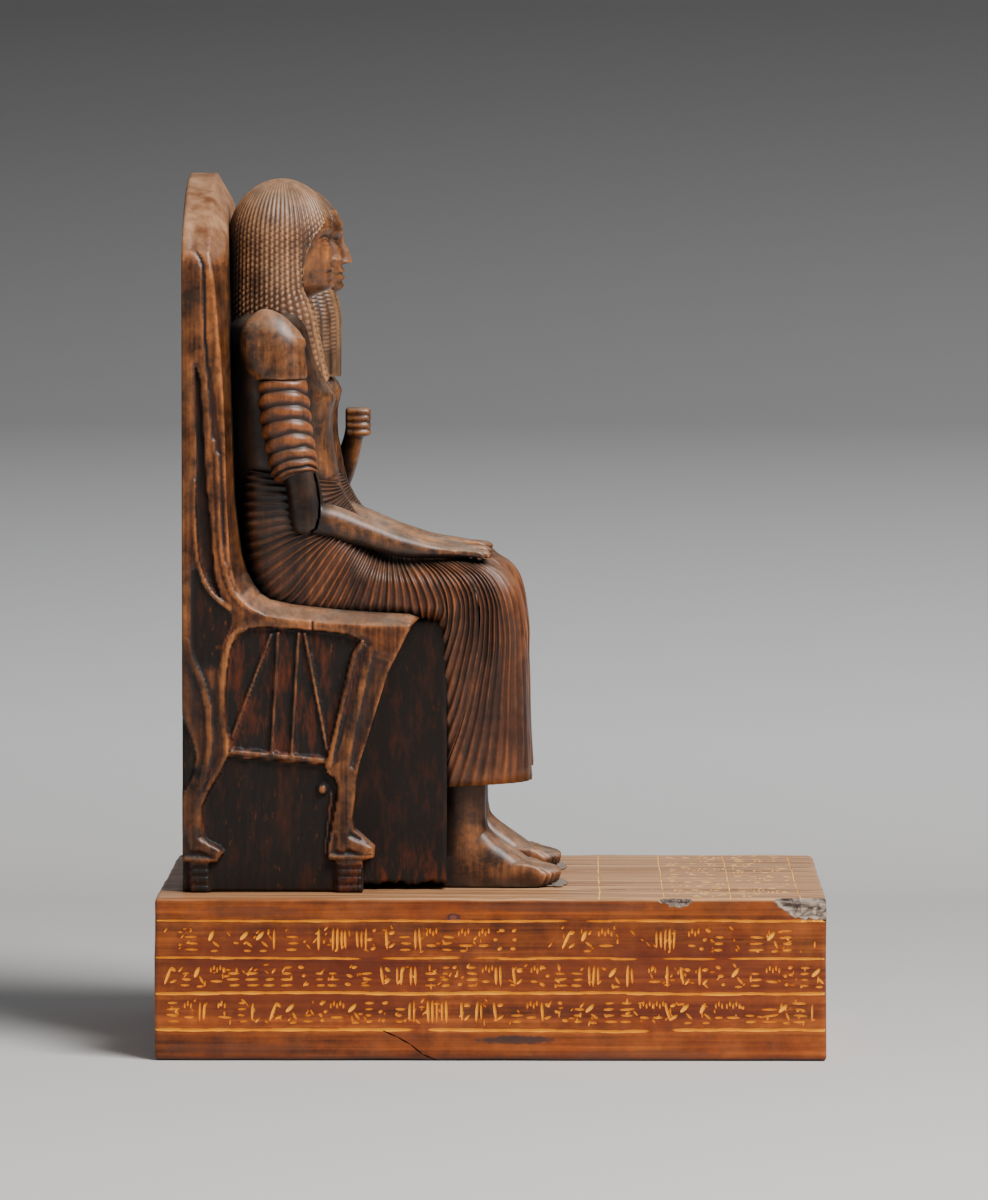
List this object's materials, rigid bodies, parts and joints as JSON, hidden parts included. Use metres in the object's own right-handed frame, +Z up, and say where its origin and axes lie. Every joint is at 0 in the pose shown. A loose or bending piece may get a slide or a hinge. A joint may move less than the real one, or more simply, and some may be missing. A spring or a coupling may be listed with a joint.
{
  "type": "seated pair statue",
  "caption": "Carved wooden statue of a seated man and woman on a high-backed chair with lion legs, standing on a rectangular inscribed base.",
  "frame": {"origin": "centre of the base's underside", "axes": "+X is the way the figures face, +Y is the woman's side, +Z is up"},
  "size_m": [0.247, 0.185, 0.3253],
  "materials": {
    "dark_brown_wood": "dark brown polished hardwood, worn lighter on its ridges",
    "red_brown_wood": "red-brown oiled wood with yellow painted marks"
  },
  "bodies": {
    "root": {"seated_pair_on_chair": "dark_brown_wood", "inscribed_base": "red_brown_wood"}
  },
  "joints": []
}
